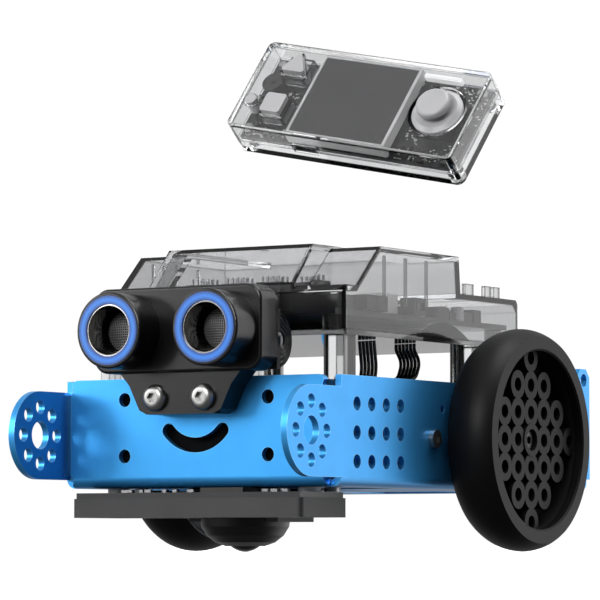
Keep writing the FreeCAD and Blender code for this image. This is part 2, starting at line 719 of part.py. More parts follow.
def eye_sensor():
    """Black front shell with two barrels and a nose, and what it carries."""
    body = new_body("eye_shell_body")
    face = sketch_on(body, "XZ", "eye_face")
    add_rectangle(face, ("-eye_half", "eye_half"), ("eye_low", "eye_top"))
    pad(body, face, "XZ", "eye_back - eye_face")
    nose = sketch_on(body, "XZ", "nose_face")
    add_outline(nose, [
        ("-20.5", "eye_low + 0.5"), ("-17", "46.5"), ("-13.6", "nose_low + 1.2"),
        ("-nose_half", "nose_low"), ("nose_half", "nose_low"),
        ("13.6", "nose_low + 1.2"), ("17", "46.5"), ("20.5", "eye_low + 0.5"),
    ])
    pad(body, nose, "XZ", "-nose_face")

    def shell_corner(edge):
        return runs_along(edge, "Y") and abs(abs(edge.BoundBox.XMin) - number_of("eye_half")) < 0.01

    bend(body, "4.6", shell_corner)

    def shell_rim(edge):
        box = edge.BoundBox
        face_y = number_of("eye_face")
        return abs(box.YMin - face_y) < 0.01 and abs(box.YMax - face_y) < 0.01

    bend(body, "0.8", shell_rim)
    barrels = sketch_on(body, "XZ", "eye_front")
    for side in (-1, 1):
        add_circle(barrels, f"{side} * eye_x", "eye_z", "eye_radius")
    pad(body, barrels, "XZ", "eye_face + 0.2 - eye_front")

    def barrel_lip(edge):
        return abs(edge.BoundBox.YMax - number_of("eye_front")) < 0.01

    bend(body, "0.6", barrel_lip)
    cups = sketch_on(body, "XZ", "eye_front - 1")
    for side in (-1, 1):
        add_circle(cups, f"{side} * eye_x", "eye_z", "cup_radius")
    pocket(body, cups, "XZ", "cup_floor + 1 - eye_front")
    grooves = sketch_on(body, "XZ", "eye_front - 1")
    for side in (-1, 1):
        add_circle(grooves, f"{side} * eye_x", "eye_z", "light_radius")
    pocket(body, grooves, "XZ", "2.2")
    bolts = sketch_on(body, "XZ", "eye_front")
    for side in (-1, 1):
        add_circle(bolts, f"{side} * hole_pitch", "sensor_bolt_z", "hole_radius")
    pocket(body, bolts, "XZ", "21")
    keep(body, "eye_sensor_shell")

    back = block("eye_back_block", ("-eye_half + 1", "eye_half - 1"), ("eye_back", "0.6"),
                 ("eye_low + 0.6", "eye_top - 1"))
    keep(rounded("eye_back_eased", back, 4.0, lambda edge: runs_along(edge, "Y")), "eye_sensor_back")

    rings, rims, transducers = [], [], []
    for side, sign in (("right", 1), ("left", -1)):
        centre = (f"{sign} * eye_x", "eye_z")
        band = ("eye_front - 0.2", "eye_front + 1.2")
        ring = rod(f"{side}_light_disc", "Y", centre, band, "light_radius")
        hole = rod(f"{side}_light_hole", "Y", centre, ("eye_front - 1", "eye_front + 2"), "cup_radius")
        rings.append(cut(f"{side}_light_shape", ring, [hole]))
        rim = rod(f"{side}_rim_disc", "Y", centre, ("eye_front + 0.2", "cup_floor"), "cup_radius")
        bore = rod(f"{side}_rim_bore", "Y", centre, ("eye_front - 1", "cup_floor + 1"), "rim_inner")
        rims.append(cut(f"{side}_rim_shape", rim, [bore]))
        can = rod(f"{side}_can_disc", "Y", centre, ("transducer_front", "cup_floor"), "transducer_radius")
        dome = ball(f"{side}_dome_ball", (f"{sign} * eye_x", "transducer_front + 12", "eye_z"), "12")
        transducers.append(common(f"{side}_transducer_shape", [can, dome]))
    keep(group("light_ring_group", rings), "eye_light_rings")
    keep(group("eye_rim_group", rims), "eye_rims")
    keep(group("transducer_group", transducers), "transducers")
    screws = []
    for index, x in enumerate(("-hole_pitch", "hole_pitch")):
        place = (x, "sensor_bolt_z")
        name = f"eye_screw_{index}"
        screws.append(socket_screw(name, "Y", -1, place, "nose_face", 3.8, 2.3, 1.9, 12, domed=True))
    keep(group("eye_screw_group", screws), "eye_sensor_screws")
    low = block("eye_socket_low", ("22.6", "26.6"), ("0.6", "2.2"), ("50.6", "57.2"))
    high = block("eye_socket_high", ("22.6", "26.6"), ("0.6", "2.2"), ("60.8", "67.4"))
    keep(group("eye_socket_group", [low, high]), "eye_sensor_sockets")


# ---- shield box ----

def inset(points, distance):
    """The corners of a closed anticlockwise outline moved inwards by distance."""
    moved = []
    count = len(points)
    for index in range(count):
        before = FreeCAD.Vector(*points[index - 1], 0)
        here = FreeCAD.Vector(*points[index], 0)
        after = FreeCAD.Vector(*points[(index + 1) % count], 0)
        one = (here - before).normalize()
        two = (after - here).normalize()
        normal_one = FreeCAD.Vector(-one.y, one.x, 0)
        normal_two = FreeCAD.Vector(-two.y, two.x, 0)
        middle = (normal_one + normal_two).normalize()
        reach = distance / middle.dot(normal_one)
        corner = here + middle * reach
        moved.append((corner.x, corner.y))
    return moved


def shield_cover():
    """The clear cover: a low box with a stepped hump across it, hollow and open below."""
    low = number_of("shield_low + 1.5")
    front, back = number_of("shield_front"), number_of("shield_back")
    tray, hump = number_of("tray_top"), number_of("hump_top")
    hump_back = number_of("hump_back")
    side_profile = [
        (front, low), (back, low), (back, tray - 3), (back - 3, tray), (hump_back, tray),
        (hump_back - 1, hump - 0.2), (33.0, hump - 0.2), (20.2, 74.4), (front + 1.2, 74.4), (front, 73.2),
    ]
    hump_profile = [
        (front + 0.3, 73.0), (hump_back - 1, 73.0), (hump_back - 1, hump + 0.6), (23.2, hump + 0.6),
        (front + 0.3, 75.6),
    ]
    wall = number_of("shield_wall")

    body = new_body("shield_body")

    def outline(profile, half, feature_maker):
        sketch = sketch_on(body, "YZ", f"-({half})")
        add_outline(sketch, [(f"{y:.4f}", f"{z:.4f}") for y, z in profile])
        feature_maker(body, sketch, "YZ", f"2 * ({half})")

    outline(side_profile, "shield_half", pad)

    def long_corner(edge):
        return runs_along(edge, "Z") and edge.BoundBox.ZMax < tray + 0.5

    bend(body, "2.4", long_corner)
    outline(hump_profile, "centre_half", pad)
    doc.recompute()
    hollow = inset(side_profile, wall)
    hollow[0] = (hollow[0][0], low - 1)
    hollow[1] = (hollow[1][0], low - 1)
    outline(hollow, "shield_half - shield_wall", pocket)
    hump_hollow = inset(hump_profile, wall)
    hump_hollow[0] = (hump_hollow[0][0], 70.0)
    hump_hollow[1] = (hump_hollow[1][0], 70.0)
    outline(hump_hollow, "centre_half - shield_wall", pocket)
    guides = sketch_on(body, "XY", "tray_top - 1")
    guide_inner = "pad_length / 2 + 0.35"
    for span in (("-shield_half", f"-({guide_inner})"), (guide_inner, "shield_half")):
        for reach in (("82", "87"), ("94", "97.6"), ("99.4", "103")):
            add_rectangle(guides, span, reach)
    pad(body, guides, "XY", "guide_height + 1")
    keep(body, "shield_cover")


def shield_inside():
    """The tray, board, battery, ports, connectors and switch inside the clear cover."""
    base = block("shield_base_block", ("-shield_half", "shield_half"), ("shield_front", "shield_back"),
                 ("shield_low", "shield_low + 1.5"))
    eased = rounded("shield_base_eased", base, 2.4, lambda edge: runs_along(edge, "Z"))
    board = block("shield_board_block", ("-37", "37"), ("15", "113"), ("66.4", "68"))
    keep(board, "shield_board")
    pillars = [rod(f"shield_pillar_{index}", "Z", point, ("shield_low + 1.5", "66.4"), "2.6")
               for index, point in enumerate((("-34", "18"), ("34", "18"), ("-34", "110"), ("34", "110")))]

    keep(fuse("shield_base_shape", [eased] + pillars), "shield_base")
    cell = block("battery_block", ("-22", "22"), ("50", "92"), ("shield_low + 1.7", "66.2"))
    keep(rounded("battery_eased", cell, 1.6, lambda edge: runs_along(edge, "X") or runs_along(edge, "Y")),
         "battery_pack")
    ports = [block(f"side_port_{index}", ("33", "39.3"), (f"{27 + 6 * index}", f"{32.4 + 6 * index}"),
                   ("68", "72.4")) for index in range(2)]
    sockets = [block(f"motor_socket_{index}", (f"{x}", f"{x + 9}"), (f"{y}", f"{y + 9}"), ("68", "74"))
               for index, (x, y) in enumerate(((12, 56), (-21, 56), (25, 44), (-34, 44)))]
    keep(group("motor_socket_group", sockets), "motor_sockets")
    pins = [block(f"servo_pins_{index}", (f"{-20 + 12 * index}", f"{-12 + 12 * index}"), ("26", "34"),
                  ("68", "76.5")) for index in range(4)]
    keep(group("servo_pin_group", pins), "servo_headers")
    ports.append(block("main_socket_block", ("24.9", "37"), ("16", "24"), ("68", "72")))
    keep(group("side_port_group", ports), "side_ports")
    case = block("switch_case", ("34.5", "39.3"), ("53.6", "60.2"), ("68", "73"))
    slot = block("switch_slot", ("37", "39.6"), ("54.4", "59.4"), ("69.4", "71.6"))
    keep(cut("switch_shape", case, [slot]), "power_switch_body")
    knob = block("switch_knob_block", ("37.1", "39.4"), ("54.8", "56.8"), ("69.6", "71.4"))
    keep(knob, "power_switch_knob")
    strip = block("dock_strip_block", ("-14", "14"), ("94", "101"), ("68", "73.7"))
    keep(strip, "dock_connector")


def shield_supports():
    """Clear legs at the corners and metal standoffs between the deck and the box."""
    legs = []
    for side, sign in (("right", 1), ("left", -1)):
        inner, outer = (("36", "41") if sign > 0 else ("-41", "-36"))
        from_deck = ("deck_low + sheet_thick", "shield_low")
        from_gearbox = ("43.4", "shield_low")
        legs.append(block(f"{side}_front_leg", (inner, outer), ("12.5", "19"), from_deck))
        legs.append(block(f"{side}_rear_leg", (inner, outer), ("90", "97"), from_gearbox))
    keep(group("shield_leg_group", legs), "shield_legs")
    posts = []
    for index, x in enumerate(("32", "-32")):
        from_deck = ("deck_low + sheet_thick", "shield_low")
        front = rod(f"front_post_{index}", "Z", (x, "21.2"), from_deck, "2.4")
        tap = rod(f"front_tap_{index}", "Z", (x, "21.2"), ("deck_low", "deck_low + 8"), "1.3")
        posts.append(cut(f"front_tube_{index}", front, [tap]))
        posts.append(rod(f"rear_post_{index}", "Z", (x, "93.5"), ("43.4", "shield_low"), "2.4"))
    keep(group("standoff_group", posts), "metal_standoffs")


# ---- cables: straight runs joined by tangent arcs ----

def rounded_path(points, radii):
    """A wire along points with its inner corners rounded to the given radii."""
    vectors = [FreeCAD.Vector(*point) for point in points]
    edges = []
    start = vectors[0]
    for index in range(1, len(vectors) - 1):
        corner = vectors[index]
        back = (vectors[index - 1] - corner).normalize()
        ahead = (vectors[index + 1] - corner).normalize()
        turn = math.pi - back.getAngle(ahead)
        reach = radii[index - 1] * math.tan(turn / 2)
        first = corner + back * reach
        last = corner + ahead * reach
        inward = (back + ahead).normalize()
        centre = corner + inward * (radii[index - 1] / math.cos(turn / 2))
        middle = centre - inward * radii[index - 1]
        if (first - start).Length > 0.001:
            edges.append(Part.LineSegment(start, first).toShape())
        edges.append(Part.Arc(first, middle, last).toShape())
        start = last
    edges.append(Part.LineSegment(start, vectors[-1]).toShape())
    return Part.Wire(edges)


def wire(points, radii, radius):
    """A round wire swept along a rounded path, checked against section times length."""
    path = rounded_path(points, radii)
    start = FreeCAD.Vector(*points[0])
    direction = FreeCAD.Vector(*points[1]) - start
    section = Part.Wire([Part.Circle(start, direction, radius).toShape()])
    solid = path.makePipeShell([section], True, False)
    expected = math.pi * radius ** 2 * path.Length
    if abs(solid.Volume - expected) > 0.02 * expected:
        raise ValueError("a wire's volume does not match its length")
    return solid, path.Length


def cable(label, routes):
    """One node of parallel wires; each route is its points and its corner radii."""
    radius = number_of("wire_radius")
    solids = []
    lengths = []
    for points, radii in routes:
        solid, length = wire(points, radii, radius)
        solids.append(solid)
        lengths.append(length)
    print(label, "wire lengths", [round(length, 1) for length in lengths])
    feature = doc.addObject("Part::Feature", label + "_shape")
    feature.Shape = Part.makeCompound(solids)
    keep(feature, label)


def cables():
    """The sensor's looped lead, a bundle of leads down to each motor, and the line sensor's lead."""
    routes = []
    for index in range(4):
        low = 51.6 + 1.45 * index
        top = 66.2 - 1.45 * index
        back = 11.4 - 1.5 * index
        x = 24.2 + 0.3 * index
        radius = min(0.49 * (top - low), back - 2.6)
        routes.append(([(x, 2.2, top), (x, back, top), (x, back, low), (x, 2.2, low)], [radius, radius]))
    cable("eye_sensor_cable", routes)
    routes = []
    for sign in (1, -1):
        for index in range(6):
            x = sign * (26.7 + 1.37 * index)
            y = 64.0 - 0.28 * index
            points = [(x, y + 2.0, 60.4), (x, y + 2.0, 58.6), (x, y + 5.4, 55.0), (x, y + 3.0, 50.6),
                      (x, y - 4.0, 48.65)]
            routes.append((points, [1.6, 3.0, 3.0]))
    cable("motor_cables", routes)
    routes = []
    for index in range(5):
        x = 27.4 + 1.37 * index
        y = 43.9 - 0.28 * index
        points = [(x, y, 60.3), (x, y + 1.4, 52), (x, y - 4, 38), (x - 1, 31, 27), (x - 6.5, 27, 17.35),
                  (x - 8.5, 15.5, 17.35)]
        routes.append((points, [9.0, 12.0, 10.0, 4.5]))
    cable("line_sensor_cable", routes)


# ---- hand controller, modelled in its tray and then swung up ----

def controller():
    """The clear hand controller with its screen, joystick and buttons."""
    left, right = "-pad_length / 2", "pad_length / 2"
    front, back = "pad_y - pad_width / 2", "pad_y + pad_width / 2"
    low, top = "pad_low", "pad_low + pad_thick"
    middle = "pad_low + 5"

    def upright(edge):
        return runs_along(edge, "Z")

    lid = block("pad_cover_block", (left, right), (front, back), (middle, top))
    outer = rounded("pad_cover_eased", lid, 2.2, upright)
    inside = block("pad_cover_inside", (f"{left} + pad_wall", f"{right} - pad_wall"),
                   (f"{front} + pad_wall", f"{back} - pad_wall"), (f"{middle} - 1", f"{top} - pad_wall"))
    stick = ("stick_x", "stick_y")
    through_top = (middle, f"{top} + 1")
    through_front = (f"{front} - 1", f"{front} + pad_wall + 1")
    usb_mouth = (("-17.7", "-9.1"), through_front, ("pad_low + 4", "pad_low + 7.4"))
    well = [
        rod("pad_stick_hole", "Z", stick, through_top, "stick_hole"),
        rod("pad_home_hole", "Z", ("home_x", "home_y"), through_top, "2.1"),
        prism("pad_tri_hole", ("triangle_x", "triangle_y"), through_top, 3, 5.5, 90),
        prism("pad_square_hole", ("square_x", "square_y"), through_top, 4, 5.3, 45),
        block("pad_usb_hole", *usb_mouth),
    ]
    keep(cut("pad_cover_shape", outer, [inside] + well), "controller_cover", lifted=True)

    tub = block("pad_back_block", (left, right), (front, back), (low, middle))
    shell = rounded("pad_back_eased", tub, 2.2, upright)
    hollow = block("pad_back_inside", (f"{left} + pad_wall", f"{right} - pad_wall"),
                   (f"{front} + pad_wall", f"{back} - pad_wall"), (f"{low} + pad_wall", f"{middle} + 1"))
    notch = block("pad_back_notch", *usb_mouth)
    socket_hole = block("pad_dock_hole", ("-12.2", "12.2"), ("pad_y - 3.2", "pad_y + 3.2"),
                        ("pad_low - 1", "pad_low + 3"))
    screw_holes = []
    for index, point in enumerate(pad_corners()):
        screw_holes.append(rod(f"pad_back_sink_{index}", "Z", point, (f"{low} - 1", f"{low} + 1"), "1.95"))
        screw_holes.append(rod(f"pad_back_hole_{index}", "Z", point, (f"{low} - 1", f"{low} + 3"), "1.25"))
    back_shape = cut("pad_back_shape", shell, [hollow, notch, socket_hole] + screw_holes)
    keep(back_shape, "controller_back", lifted=True)

    board = block("pad_board_block", (f"{left} + 2", f"{right} - 2"), (f"{front} + 2", f"{back} - 2"),
                  ("pad_low + 4.6", "pad_low + 5.8"))
    corners = [rod(f"pad_board_hole_{index}", "Z", point, ("pad_low + 4", "pad_low + 6.5"), "1.5")
               for index, point in enumerate(pad_corners())]
    keep(cut("pad_board_shape", board, corners), "controller_board", lifted=True)
    tray = block("screen_tray_block", ("-18.9", "15.6"), ("pad_y - 14.8", "pad_y + 14.8"),
                 ("pad_low + 7.5", "pad_low + 11"))
    recess = block("screen_tray_recess", ("-18.1", "14.6"), ("pad_y - 14.2", "pad_y + 14.2"),
                   ("pad_low + 8", "pad_low + 12"))
    foot_places = (("-17", "pad_y + 13"), ("14", "pad_y + 13"), ("14", "pad_y - 13"))
    feet = [rod(f"screen_foot_{index}", "Z", point, ("pad_low + 5.8", "pad_low + 7.6"), "0.9")
            for index, point in enumerate(foot_places)]
    frame = cut("screen_frame_shape", fuse("screen_frame_solid", [tray] + feet), [recess])
    keep(frame, "controller_screen_frame", lifted=True)
    screen = block("pad_screen_block", ("-18", "14.5"), ("pad_y - 14.1", "pad_y + 14.1"),
                   ("pad_low + 8", "pad_low + 10.8"))
    keep(screen, "controller_screen", lifted=True)
    cell = block("pad_cell_block", ("-30", "10"), ("pad_y + 3.8", "pad_y + 13.5"),
                 ("pad_low + 1.5", "pad_low + 4.5"))
    keep(cell, "controller_battery", lifted=True)

    usb = block("pad_usb_block", ("-17.5", "-9.3"), (f"{front} + 0.3", f"{front} + 7"),
                ("pad_low + 5.8", "pad_low + 7.3"))
    usb_lip = block("pad_usb_low", ("-17.5", "-9.3"), (f"{front} + 0.3", f"{front} + 1.9"),
                    ("pad_low + 4.2", "pad_low + 5.8"))
    mouth = block("pad_usb_mouth", ("-16.7", "-10.1"), (f"{front} - 0.1", f"{front} + 1.4"),
                  ("pad_low + 4.9", "pad_low + 6.6"))
    usb_shape = cut("pad_usb_shape", fuse("pad_usb_solid", [usb, usb_lip]), [mouth])
    keep(usb_shape, "controller_usb_port", lifted=True)
    screws = [socket_screw(f"pad_screw_{index}", "Z", -1, point, f"{low} + 1", 1.9, 0.9, 1.2, 6)
              for index, point in enumerate(pad_corners())]
    keep(group("pad_screw_group", screws), "controller_screws", lifted=True)
    plug = block("pad_dock_block", ("-12", "12"), ("pad_y - 3", "pad_y + 3"),
                 (f"{low} + 0.4", "pad_low + 4.6"))
    keep(plug, "controller_dock_socket", lifted=True)
    joystick(stick)
    buttons(top)


def joystick(stick):
    """A base on the board, a wide tilting disc in the cover's round hole and the cap on its stem."""
    base = block("stick_base_block", ("stick_x - 6.4", "stick_x + 6.4"), ("stick_y - 6.4", "stick_y + 6.4"),
                 ("pad_low + 5.8", "pad_low + 6.9"))
    post = rod("stick_base_post", "Z", stick, ("pad_low + 6.8", "pad_low + 7.9"), "1.2")
    keep(fuse("stick_base_shape", [base, post]), "joystick_base", lifted=True)
    neck = rod("stick_yoke_neck", "Z", stick, ("pad_low + 8.6", "pad_low + 11.2"), "4.4")
    disc = rod("stick_yoke_disc", "Z", stick, ("pad_low + 11", "pad_low + 12.1"), "stick_disc")
    slope = rod("stick_yoke_slope", "Z", stick, ("pad_low + 12.1", "pad_low + 12.9"), "stick_disc",
                "stick_disc - 1.4")
    well = rod("stick_yoke_well", "Z", stick, ("pad_low + 9.2", "pad_low + 14"), "3.3")
    yoke = fuse("stick_yoke_solid", [neck, disc, slope])
    keep(cut("stick_yoke_shape", yoke, [well]), "joystick_yoke", lifted=True)
    stem = rod("stick_stem", "Z", stick, ("pad_low + 9.8", "pad_low + 14.4"), "2.3")
    cap = rod("stick_cap_disc", "Z", stick, ("pad_low + 14.3", "pad_low + 17"), "5.3")
    cap_eased = rounded("stick_cap_eased", cap, 1.1, lambda edge: edge.Curve.TypeId == "Part::GeomCircle")
    keep(fuse("stick_cap_shape", [stem, cap_eased]), "joystick_cap", lifted=True)


def buttons(top):
    """The triangle, square and home buttons, standing a little above the cover."""
    def upright(edge):
        return runs_along(edge, "Z")

    low, high = "pad_low + 7.2", f"{top} + 1.4"
    triangle = prism("triangle_solid", ("triangle_x", "triangle_y"), (low, high), 3, 5.0, 90)
    keep(rounded("triangle_eased", triangle, 0.7, upright), "triangle_button", lifted=True)
    square = prism("square_solid", ("square_x", "square_y"), (low, high), 4, 4.9, 45)
    keep(rounded("square_eased", square, 0.9, upright), "square_button", lifted=True)
    home = rod("home_solid", "Z", ("home_x", "home_y"), (low, f"{top} + 0.5"), "1.8")
    keep(home, "home_button", lifted=True)


def pad_corners():
    """The four screw places of the controller."""
    reach_x = "(pad_length / 2 - 4.2)"
    reach_y = "(pad_width / 2 - 4.2)"
    return [(f"{a} * {reach_x}", f"pad_y + {b} * {reach_y}") for a in (-1, 1) for b in (-1, 1)]


def prism(name, centre, span, sides, corner_radius, first_angle):
    """An upright regular prism with its first corner at first_angle degrees."""
    solid = doc.addObject("Part::Prism", name)
    solid.Polygon = sides
    solid.setExpression("Circumradius", bound(f"({corner_radius})"))
    solid.setExpression("Height", bound(f"({span[1]}) - ({span[0]})"))
    turn = FreeCAD.Rotation(FreeCAD.Vector(0, 0, 1), first_angle)
    solid.Placement = FreeCAD.Placement(FreeCAD.Vector(), turn)
    for axis, value in zip("xyz", (centre[0], centre[1], span[0])):
        solid.setExpression("Placement.Base." + axis, bound(f"({value})"))
    return solid


motor_plugs = []
chassis()
for side_name, side_sign in (("right", 1), ("left", -1)):
    wheel(side_name, side_sign)
    motor_plugs.append(motor(side_name, side_sign))
keep(group("motor_plug_group", motor_plugs), "motor_plugs")
chassis_screws()
caster()
line_sensor()
eye_sensor()
shield_cover()
shield_inside()
shield_supports()
cables()
controller()

doc.recompute()
for obj in doc.Objects:
    if "Invalid" in obj.State or "Error" in obj.State:
        sys.exit(f"{obj.Name} failed: {obj.State}")
    if obj.TypeId == "PartDesign::Pocket":
        removed = obj.BaseFeature.Shape.Volume - obj.Shape.Volume
        if removed < 0.01:
            sys.exit(f"{obj.Name} cuts nothing")
for sub_part in sub_parts:
    if sub_part.Shape.isNull() or not sub_part.Shape.isValid():
        sys.exit(f"{sub_part.Label} has no valid shape")

os.makedirs("parts", exist_ok=True)
for sub_part in sub_parts:
    sub_part.Shape.exportStep(f"parts/{sub_part.Label}.step")
print(len(sub_parts), "sub-parts written")
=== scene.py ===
import json
import math
import random

import bmesh
import bpy
from mathutils import Matrix, Vector


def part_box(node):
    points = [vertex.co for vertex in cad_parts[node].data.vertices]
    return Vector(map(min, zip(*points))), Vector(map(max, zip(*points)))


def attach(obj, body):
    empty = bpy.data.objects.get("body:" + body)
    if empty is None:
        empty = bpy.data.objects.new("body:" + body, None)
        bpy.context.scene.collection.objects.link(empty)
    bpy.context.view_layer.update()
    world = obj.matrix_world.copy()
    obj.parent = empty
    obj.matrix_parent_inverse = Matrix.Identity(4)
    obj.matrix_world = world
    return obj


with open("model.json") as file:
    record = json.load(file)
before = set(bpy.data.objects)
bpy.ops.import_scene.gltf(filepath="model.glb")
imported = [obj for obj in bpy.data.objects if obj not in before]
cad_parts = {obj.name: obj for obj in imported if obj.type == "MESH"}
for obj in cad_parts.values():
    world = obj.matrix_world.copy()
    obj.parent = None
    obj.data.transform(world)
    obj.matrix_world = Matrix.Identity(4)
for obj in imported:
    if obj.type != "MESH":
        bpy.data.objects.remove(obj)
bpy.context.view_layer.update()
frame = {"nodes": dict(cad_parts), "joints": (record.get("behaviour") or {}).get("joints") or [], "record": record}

MM = 0.001
SHIFT = -62.9

# The floor is a large disc, a hair below the wheels.
FLOOR_RADIUS = 3.0
FLOOR_SIDES = 48
FLOOR_GAP = 0.0002


# ---- camera, light and floor ----

def aim(obj, target):
    """Turn obj so that its -Z axis points at target."""
    obj.rotation_euler = (Vector(target) - obj.location).to_track_quat("-Z", "Y").to_euler()


def add_camera():
    lens = bpy.data.cameras.new("camera")
    lens.lens = 219.3
    lens.sensor_width = 36.0
    lens.clip_end = 20.0
    camera = bpy.data.objects.new("camera", lens)
    bpy.context.scene.collection.objects.link(camera)
    camera.location = (0.5636, -0.9190, 0.0025)
    aim(camera, (0.03447, -0.0629, 0.06942))
    bpy.context.scene.camera = camera


def add_light(name, place, target, width, height, power):
    lamp = bpy.data.lights.new(name, "AREA")
    lamp.shape = "RECTANGLE"
    lamp.size = width
    lamp.size_y = height
    lamp.energy = power
    obj = bpy.data.objects.new(name, lamp)
    bpy.context.scene.collection.objects.link(obj)
    obj.location = place
    aim(obj, target)


GLOWS = [
    # direction, how wide it is (cosine where it starts), strength
    ((0.60, 0.80, 0.10), 0.55, 1.5),
    ((-0.53, 0.84, 0.08), 0.40, 0.36),
    ((0.0, 0.0, 1.0), 0.30, 0.60),
    ((-0.60, -0.78, 0.20), 0.60, 0.45),
]
# How bright the room is between the glows, and how far clear plastic shows the white backdrop.
DARK_ROOM = 0.10
SEEN_THROUGH = 0.75


def add_world():
    """White behind everything, also through clear plastic; for reflections and fill, a dark room
    with a few soft bright walls."""
    world = bpy.data.worlds.new("studio")
    bpy.context.scene.world = world
    world.use_nodes = True
    nodes, links = world.node_tree.nodes, world.node_tree.links
    room = nodes["Background"]
    room.inputs["Color"].default_value = (1.0, 1.0, 1.0, 1.0)
    place = nodes.new("ShaderNodeTexCoord")
    total = None
    for direction, start, strength in GLOWS:
        dot = nodes.new("ShaderNodeVectorMath")
        dot.operation = "DOT_PRODUCT"
        dot.inputs[1].default_value = Vector(direction).normalized()
        links.new(place.outputs["Generated"], dot.inputs[0])
        glow = nodes.new("ShaderNodeMapRange")
        glow.interpolation_type = "SMOOTHSTEP"
        glow.inputs["From Min"].default_value = start
        glow.inputs["To Max"].default_value = strength
        links.new(dot.outputs["Value"], glow.inputs["Value"])
        add = nodes.new("ShaderNodeMath")
        add.operation = "ADD"
        add.inputs[1].default_value = DARK_ROOM
        links.new(glow.outputs["Result"], add.inputs[0])
        if total is not None:
            links.new(total, add.inputs[1])
        total = add.outputs["Value"]
    links.new(total, room.inputs["Strength"])
    paper = nodes.new("ShaderNodeBackground")
    paper.inputs["Color"].default_value = (1.0, 1.0, 1.0, 1.0)
    paper.inputs["Strength"].default_value = 1.02
    rays = nodes.new("ShaderNodeLightPath")
    mix = nodes.new("ShaderNodeMixShader")
    through = nodes.new("ShaderNodeMath")
    through.operation = "MULTIPLY_ADD"
    through.use_clamp = True
    through.inputs[1].default_value = SEEN_THROUGH
    links.new(rays.outputs["Is Transmission Ray"], through.inputs[0])
    links.new(rays.outputs["Is Camera Ray"], through.inputs[2])
    links.new(through.outputs["Value"], mix.inputs["Fac"])
    links.new(room.outputs["Background"], mix.inputs[1])
    links.new(paper.outputs["Background"], mix.inputs[2])
    links.new(mix.outputs["Shader"], nodes["World Output"].inputs["Surface"])


def add_studio():
    add_world()
    middle = (0.0, 0.0, 0.05)
    add_light("front_light", (0.05, -1.15, 0.55), middle, 0.55, 0.35, 8.5)
    add_light("side_light", (-0.75, -0.75, 0.35), middle, 0.5, 0.5, 4.5)
    add_light("top_light", (0.25, 0.10, 0.95), middle, 0.7, 0.5, 6.0)

    mesh = bpy.data.meshes.new("floor")
    turns = [2 * math.pi * step / FLOOR_SIDES for step in range(FLOOR_SIDES)]
    corners = [(FLOOR_RADIUS * math.cos(turn), FLOOR_RADIUS * math.sin(turn), 0.0) for turn in turns]
    mesh.from_pydata(corners, [], [list(range(FLOOR_SIDES))])
    floor = bpy.data.objects.new("floor", mesh)
    bpy.context.scene.collection.objects.link(floor)
    floor.location.z = -FLOOR_GAP
    floor.visible_diffuse = False
    floor.visible_glossy = False
    return floor


# ---- materials ----

def new_material(name):
    material = bpy.data.materials.new(name)
    material.use_nodes = True
    return material, material.node_tree.nodes, material.node_tree.links


def set_inputs(shader, **values):
    for key, value in values.items():
        socket = shader.inputs[key.replace("_", " ")]
        socket.default_value = (*value, 1.0) if isinstance(value, tuple) and len(value) == 3 else value


def ramp_between(nodes, links, source, low, high, start=0.3, end=0.7):
    ramp = nodes.new("ShaderNodeValToRGB")
    ramp.color_ramp.elements[0].position = start
    ramp.color_ramp.elements[1].position = end
    ramp.color_ramp.elements[0].color = (*low, 1.0)
    ramp.color_ramp.elements[1].color = (*high, 1.0)
    links.new(source, ramp.inputs["Fac"])
    return ramp.outputs["Color"]


def edge_mask(nodes, links, radius, sharpness):
    """1 near sharp edges, 0 on flat faces: how far the rounded normal leans from the true one."""
    rounded = nodes.new("ShaderNodeBevel")
    rounded.samples = 6
    rounded.inputs["Radius"].default_value = radius
    facts = nodes.new("ShaderNodeNewGeometry")
    dot = nodes.new("ShaderNodeVectorMath")
    dot.operation = "DOT_PRODUCT"
    links.new(rounded.outputs["Normal"], dot.inputs[0])
    links.new(facts.outputs["Normal"], dot.inputs[1])
    mask = nodes.new("ShaderNodeMapRange")
    mask.inputs["From Min"].default_value = 1.0
    mask.inputs["From Max"].default_value = 1.0 - sharpness
    links.new(dot.outputs["Value"], mask.inputs["Value"])
    return mask.outputs["Result"]


def mix_colours(nodes, links, factor, first, second):
    mix = nodes.new("ShaderNodeMix")
    mix.data_type = "RGBA"
    links.new(factor, mix.inputs["Factor"])
    for socket, value in (("A", first), ("B", second)):
        target = [item for item in mix.inputs if item.name == socket and item.type == "RGBA"][0]
        if isinstance(value, tuple):
            target.default_value = (*value, 1.0)
        else:
            links.new(value, target)
    return [item for item in mix.outputs if item.type == "RGBA"][0]


